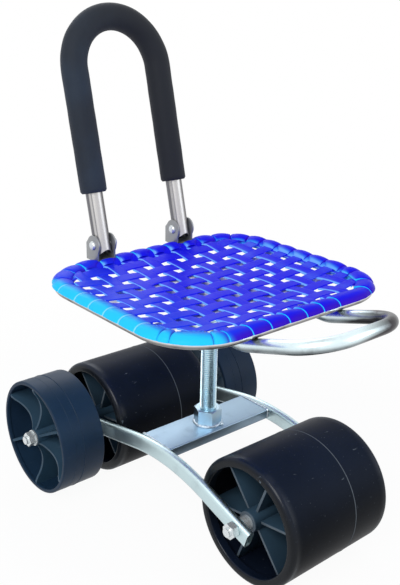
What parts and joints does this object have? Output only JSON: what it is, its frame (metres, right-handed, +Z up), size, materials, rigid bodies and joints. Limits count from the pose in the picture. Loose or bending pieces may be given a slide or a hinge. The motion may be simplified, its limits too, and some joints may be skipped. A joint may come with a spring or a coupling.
{
  "type": "rolling garden seat",
  "caption": "Low rolling work seat: woven-look seat on a lifting screw over a bent-arm chassis with wide rollers and outer wheels, hand loop and folding padded back bow.",
  "frame": {"origin": "on the floor, under the middle of the bounding box; the object is symmetric about the plane x = 0 apart from its folding bolts", "axes": "+X along the axles to the right, +Y from the hand loop to the back bow, +Z up from the floor"},
  "size_m": [0.4136, 0.549, 0.7078],
  "materials": {
    "zinc": "zinc-plated steel with a bluish sheen",
    "crossbar_paint": "light grey painted steel",
    "steel": "bright steel",
    "ring_steel": "plain drawn steel",
    "bracket_steel": "pressed stainless steel",
    "bow_steel": "brushed stainless tube",
    "roller_plastic": "near-black moulded plastic with glossy shoulders",
    "wheel_plastic": "charcoal moulded plastic",
    "bush_plastic": "dark nylon",
    "seat_plastic": "ultramarine moulded plastic",
    "foam": "charcoal closed-cell foam"
  },
  "bodies": {
    "base": {"crossbar": "crossbar_paint", "lift_nut": "zinc", "arm_left": "zinc", "arm_right": "zinc", "front_axle": "steel", "rear_axle": "steel", "axle_nuts": "zinc", "wheel_washers": "zinc", "roller_collars": "steel", "wheel_collars": "steel"},
    "front_roll": {"front_roller": "roller_plastic", "front_roller_bushes": "bush_plastic"},
    "rear_roll": {"rear_roller": "roller_plastic", "rear_roller_bushes": "bush_plastic"},
    "left_wheel": {"wheel_left": "wheel_plastic", "wheel_left_bushes": "bush_plastic"},
    "right_wheel": {"wheel_right": "wheel_plastic", "wheel_right_bushes": "bush_plastic"},
    "screw": {"lift_screw": "zinc"},
    "seat": {"seat_cover": "seat_plastic", "seat_ring": "ring_steel", "seat_bars": "ring_steel", "hub_plate": "ring_steel", "screw_hub": "ring_steel", "hand_loop": "zinc", "loop_stubs": "zinc", "bracket_left": "bracket_steel", "bracket_right": "bracket_steel", "bow_bolts": "steel", "bow_nuts": "steel", "cover_screws": "zinc"},
    "back": {"back_bow": "bow_steel", "foam_sleeve": "foam"}
  },
  "joints": [
    {"name": "front_roller_spin", "type": "hinge", "parent": "base", "child": "front_roll", "pos_m": [0, -0.16953, 0.088], "axis": [1, 0, 0], "continuous": true},
    {"name": "rear_roller_spin", "type": "hinge", "parent": "base", "child": "rear_roll", "pos_m": [0, 0.18647, 0.088], "axis": [1, 0, 0], "continuous": true},
    {"name": "left_wheel_spin", "type": "hinge", "parent": "base", "child": "left_wheel", "pos_m": [-0.157, 0.18647, 0.088], "axis": [1, 0, 0], "continuous": true},
    {"name": "right_wheel_spin", "type": "hinge", "parent": "base", "child": "right_wheel", "pos_m": [0.157, 0.18647, 0.088], "axis": [1, 0, 0], "continuous": true},
    {"name": "seat_lift", "type": "slide", "parent": "base", "child": "screw", "axis": [0, 0, 1], "range_m": [-0.0801, 0.0121]},
    {"name": "seat_turn", "type": "hinge", "parent": "screw", "child": "seat", "pos_m": [0, 0.00847, 0.3337], "axis": [0, 0, 1], "range_deg": [-9600, 1440]},
    {"name": "back_fold", "type": "hinge", "parent": "seat", "child": "back", "pos_m": [0, 0.16847, 0.376], "axis": [1, 0, 0], "range_deg": [0, 100]}
  ],
  "couplings": [
    {"joint": "seat_lift", "follows": "seat_turn", "m_per_rad": 0.00047746}
  ]
}
